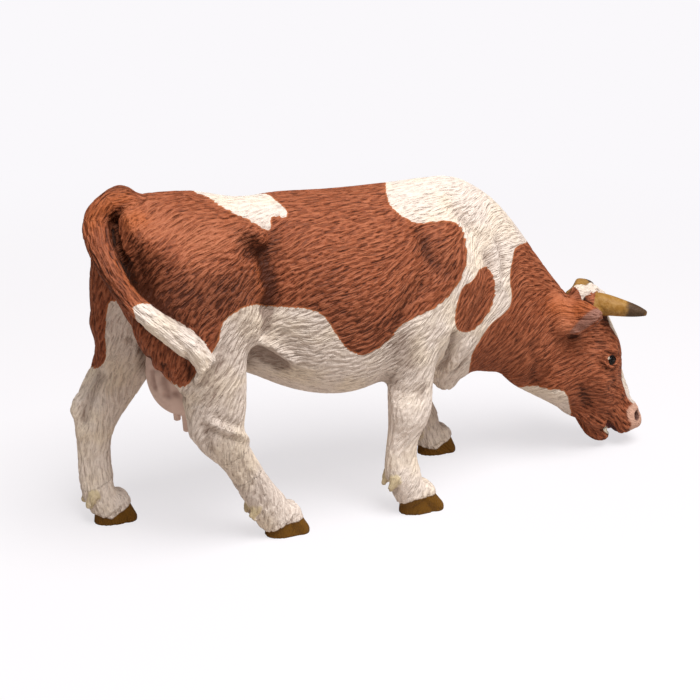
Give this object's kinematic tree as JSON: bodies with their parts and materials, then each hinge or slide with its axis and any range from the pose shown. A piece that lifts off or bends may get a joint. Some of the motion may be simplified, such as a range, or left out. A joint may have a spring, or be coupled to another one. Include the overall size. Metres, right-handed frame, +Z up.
{
  "type": "cow figurine",
  "caption": "Hand-painted plastic figurine of a brown and white horned cow grazing with its head down and one foreleg stepping forward.",
  "frame": {"origin": "on the ground under the middle of the figurine's box", "axes": "+X forward towards the head, +Y to the cow's left, +Z up"},
  "size_m": [0.1376, 0.0384, 0.0789],
  "materials": {
    "hide": "matt red-brown paint with creamy white patches over engraved fur",
    "legs": "matt creamy white paint with a warm wash over engraved fur, olive-brown hooves",
    "horn": "satin ochre paint with a dark band near the tip",
    "udder": "matt pinkish paint with a brown wash"
  },
  "bodies": {
    "root": {"torso_right_half": "hide", "torso_left_half": "hide", "head": "hide", "lower_jaw": "hide", "right_horn": "horn", "left_horn": "horn", "right_ear": "hide", "left_ear": "hide", "tail": "hide", "udder": "udder", "right_foreleg": "legs", "left_foreleg": "legs", "right_hind_leg": "legs", "left_hind_leg": "legs"}
  },
  "joints": []
}
